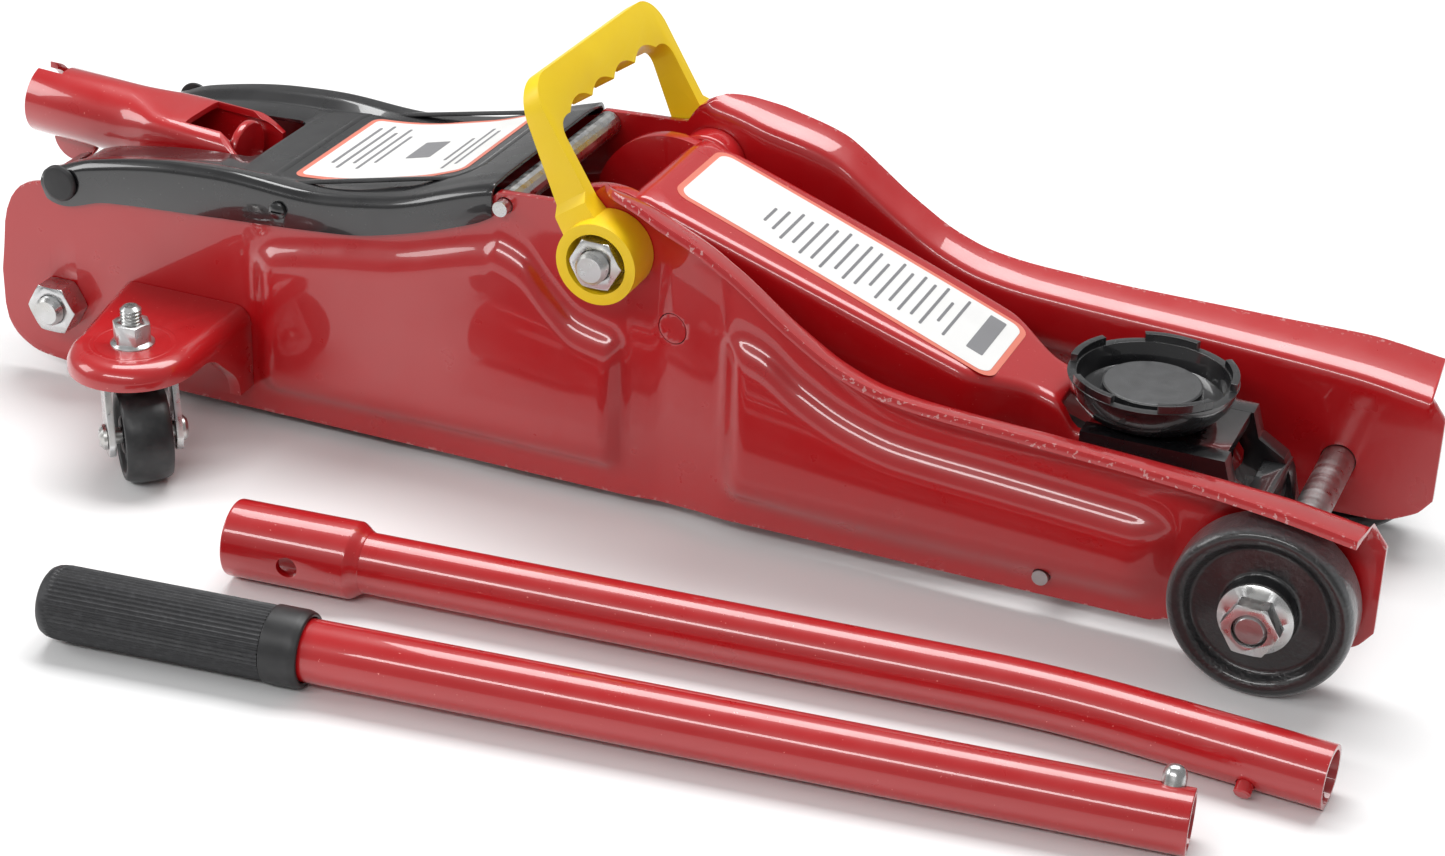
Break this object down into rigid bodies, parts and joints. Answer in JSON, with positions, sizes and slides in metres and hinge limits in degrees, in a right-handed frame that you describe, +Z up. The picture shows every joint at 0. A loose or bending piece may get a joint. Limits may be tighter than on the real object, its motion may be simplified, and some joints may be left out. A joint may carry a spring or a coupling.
{
  "type": "hydraulic trolley jack",
  "caption": "Low-profile hydraulic trolley jack: wheeled steel frame, lifting arm with cup saddle, carry handle, and its pump handle lying beside it in halves.",
  "frame": {"origin": "middle of the base of the whole set, on the ground", "axes": "+X forward to the front wheels and saddle, +Y to the jack's left, +Z up; the loose handle halves lie on the -Y side"},
  "size_m": [0.572, 0.3524, 0.1677],
  "materials": {
    "red_paint": "gloss clear-coated red paint on pressed steel",
    "black_paint": "gloss black paint",
    "black_cast_wheel": "rough cast face painted black, worn tread",
    "black_nylon": "moulded, turned tread",
    "zinc_plate": "bright zinc plating",
    "bare_steel": "oiled bare steel",
    "cast_iron": "rough casting",
    "yellow_plastic": "satin moulded",
    "black_grip": "ribbed satin"
  },
  "bodies": {
    "chassis": {"side_plate_right": "red_paint", "side_plate_left": "red_paint", "rear_cover": "black_paint", "cover_bolt_right": "black_paint", "cover_bolt_left": "black_paint", "cover_screw_right": "black_paint", "cover_screw_left": "black_paint", "rear_tie_rod": "zinc_plate", "rear_tie_nut_right": "zinc_plate", "rear_tie_nut_left": "zinc_plate", "upper_tie_bar": "zinc_plate", "lower_stop_bar": "bare_steel", "front_axle": "bare_steel", "front_axle_nut_right": "zinc_plate", "front_axle_nut_left": "zinc_plate", "caster_bracket_right": "red_paint", "caster_bracket_left": "red_paint", "arm_pivot_shaft": "zinc_plate", "arm_pivot_bush_right": "red_paint", "arm_pivot_bush_left": "red_paint", "arm_pivot_nut_right": "zinc_plate", "arm_pivot_nut_left": "zinc_plate", "pump_block": "cast_iron", "hydraulic_cylinder": "cast_iron", "socket_pivot_pin": "bare_steel", "link_pivot_pin_right": "red_paint", "link_pivot_pin_left": "red_paint"},
    "front_wheel_right": {"front_wheel_right": "black_cast_wheel"},
    "front_wheel_left": {"front_wheel_left": "black_cast_wheel"},
    "caster_swivel_right": {"caster_fork_right": "zinc_plate", "caster_nut_right": "zinc_plate", "caster_axle_right": "zinc_plate"},
    "caster_swivel_left": {"caster_fork_left": "zinc_plate", "caster_nut_left": "zinc_plate", "caster_axle_left": "zinc_plate"},
    "caster_wheel_right": {"caster_wheel_right": "black_nylon"},
    "caster_wheel_left": {"caster_wheel_left": "black_nylon"},
    "lift_arm": {"lift_arm": "red_paint", "arm_heel_roller": "bare_steel"},
    "saddle_yoke": {"saddle_yoke": "black_paint", "yoke_pin": "black_paint", "link_front_pin": "bare_steel"},
    "saddle": {"saddle": "black_paint"},
    "levelling_links": {"levelling_link_right": "black_paint", "levelling_link_left": "black_paint"},
    "ram": {"ram_piston": "bare_steel"},
    "handle_socket": {"handle_socket": "red_paint", "socket_web": "red_paint"},
    "pump_plunger": {"pump_plunger": "bare_steel"},
    "release_shaft": {"release_shaft": "bare_steel"},
    "release_valve_screw": {"release_valve_screw": "zinc_plate"},
    "carry_handle": {"carry_handle": "yellow_plastic"},
    "lower_handle": {"lower_handle_tube": "red_paint", "lower_handle_pin": "red_paint"},
    "upper_handle": {"upper_handle_tube": "red_paint", "upper_handle_grip": "black_grip", "upper_handle_collar": "black_grip"},
    "upper_handle_button": {"upper_handle_button": "zinc_plate"}
  },
  "joints": [
    {"name": "front_wheel_right_spin", "type": "hinge", "parent": "chassis", "child": "front_wheel_right", "pos_m": [0.24544, -0.01275, 0.0325], "axis": [0, 1, 0], "continuous": true},
    {"name": "front_wheel_left_spin", "type": "hinge", "parent": "chassis", "child": "front_wheel_left", "pos_m": [0.24544, 0.11685, 0.0325], "axis": [0, 1, 0], "continuous": true},
    {"name": "caster_right_swivel", "type": "hinge", "parent": "chassis", "child": "caster_swivel_right", "pos_m": [-0.18606, -0.04195, 0.04], "axis": [0, 0, 1], "continuous": true},
    {"name": "caster_left_swivel", "type": "hinge", "parent": "chassis", "child": "caster_swivel_left", "pos_m": [-0.18606, 0.14605, 0.04], "axis": [0, 0, 1], "continuous": true},
    {"name": "caster_right_spin", "type": "hinge", "parent": "caster_swivel_right", "child": "caster_wheel_right", "pos_m": [-0.17669, -0.05235, 0.019], "axis": [0.7431, 0.6691, 0], "continuous": true},
    {"name": "caster_left_spin", "type": "hinge", "parent": "caster_swivel_left", "child": "caster_wheel_left", "pos_m": [-0.17669, 0.15645, 0.019], "axis": [-0.7431, 0.6691, 0], "continuous": true},
    {"name": "arm_lift", "type": "hinge", "parent": "chassis", "child": "lift_arm", "pos_m": [-0.00746, 0.05205, 0.1071], "axis": [0, -1, 0], "range_deg": [0, 74]},
    {"name": "yoke_level", "type": "hinge", "parent": "lift_arm", "child": "saddle_yoke", "pos_m": [0.20744, 0.05205, 0.046], "axis": [0, -1, 0], "range_deg": [-74, 0]},
    {"name": "saddle_turn", "type": "hinge", "parent": "saddle_yoke", "child": "saddle", "pos_m": [0.18414, 0.05205, 0.06], "axis": [0, 0, 1], "continuous": true},
    {"name": "link_swing", "type": "hinge", "parent": "chassis", "child": "levelling_links", "pos_m": [0.01654, 0.05205, 0.0801], "axis": [0, -1, 0], "range_deg": [0, 74]},
    {"name": "ram_slide", "type": "slide", "parent": "chassis", "child": "ram", "axis": [1, 0, 0], "range_m": [0, 0.04328]},
    {"name": "socket_pump", "type": "hinge", "parent": "chassis", "child": "handle_socket", "pos_m": [-0.19856, 0.05205, 0.09], "axis": [0, 1, 0], "range_deg": [0, 55]},
    {"name": "plunger_slide", "type": "slide", "parent": "chassis", "child": "pump_plunger", "axis": [0, 0, 1], "range_m": [0, 0.0116]},
    {"name": "release_shaft_turn", "type": "hinge", "parent": "handle_socket", "child": "release_shaft", "pos_m": [-0.24621, 0.05205, 0.09701], "axis": [0.998, 0, -0.0628], "range_deg": [0, 90]},
    {"name": "release_valve_turn", "type": "hinge", "parent": "chassis", "child": "release_valve_screw", "pos_m": [-0.23256, 0.06805, 0.057], "axis": [1, 0, 0], "range_deg": [0, 90]},
    {"name": "carry_handle_fold", "type": "hinge", "parent": "chassis", "child": "carry_handle", "pos_m": [-0.00746, 0.05205, 0.1071], "axis": [0, -1, 0], "range_deg": [0, 30]},
    {"name": "lower_handle_lift", "type": "slide", "parent": "chassis", "child": "lower_handle", "axis": [0, 0, 1], "range_m": [0, 0.25]},
    {"name": "upper_handle_lift", "type": "slide", "parent": "chassis", "child": "upper_handle", "axis": [0, 0, 1], "range_m": [0, 0.25]},
    {"name": "button_press", "type": "slide", "parent": "upper_handle", "child": "upper_handle_button", "axis": [0.0583, -0.4966, -0.866], "range_m": [0, 0.004], "stiffness_N_per_m": 600, "springref_m": -0.002}
  ],
  "couplings": [
    {"joint": "yoke_level", "follows": "arm_lift", "ratio": -1},
    {"joint": "link_swing", "follows": "arm_lift", "ratio": 1},
    {"joint": "ram_slide", "follows": "arm_lift", "m_per_rad": 0.0335},
    {"joint": "plunger_slide", "follows": "socket_pump", "m_per_rad": 0.012},
    {"joint": "release_valve_turn", "follows": "release_shaft_turn", "ratio": 1}
  ]
}
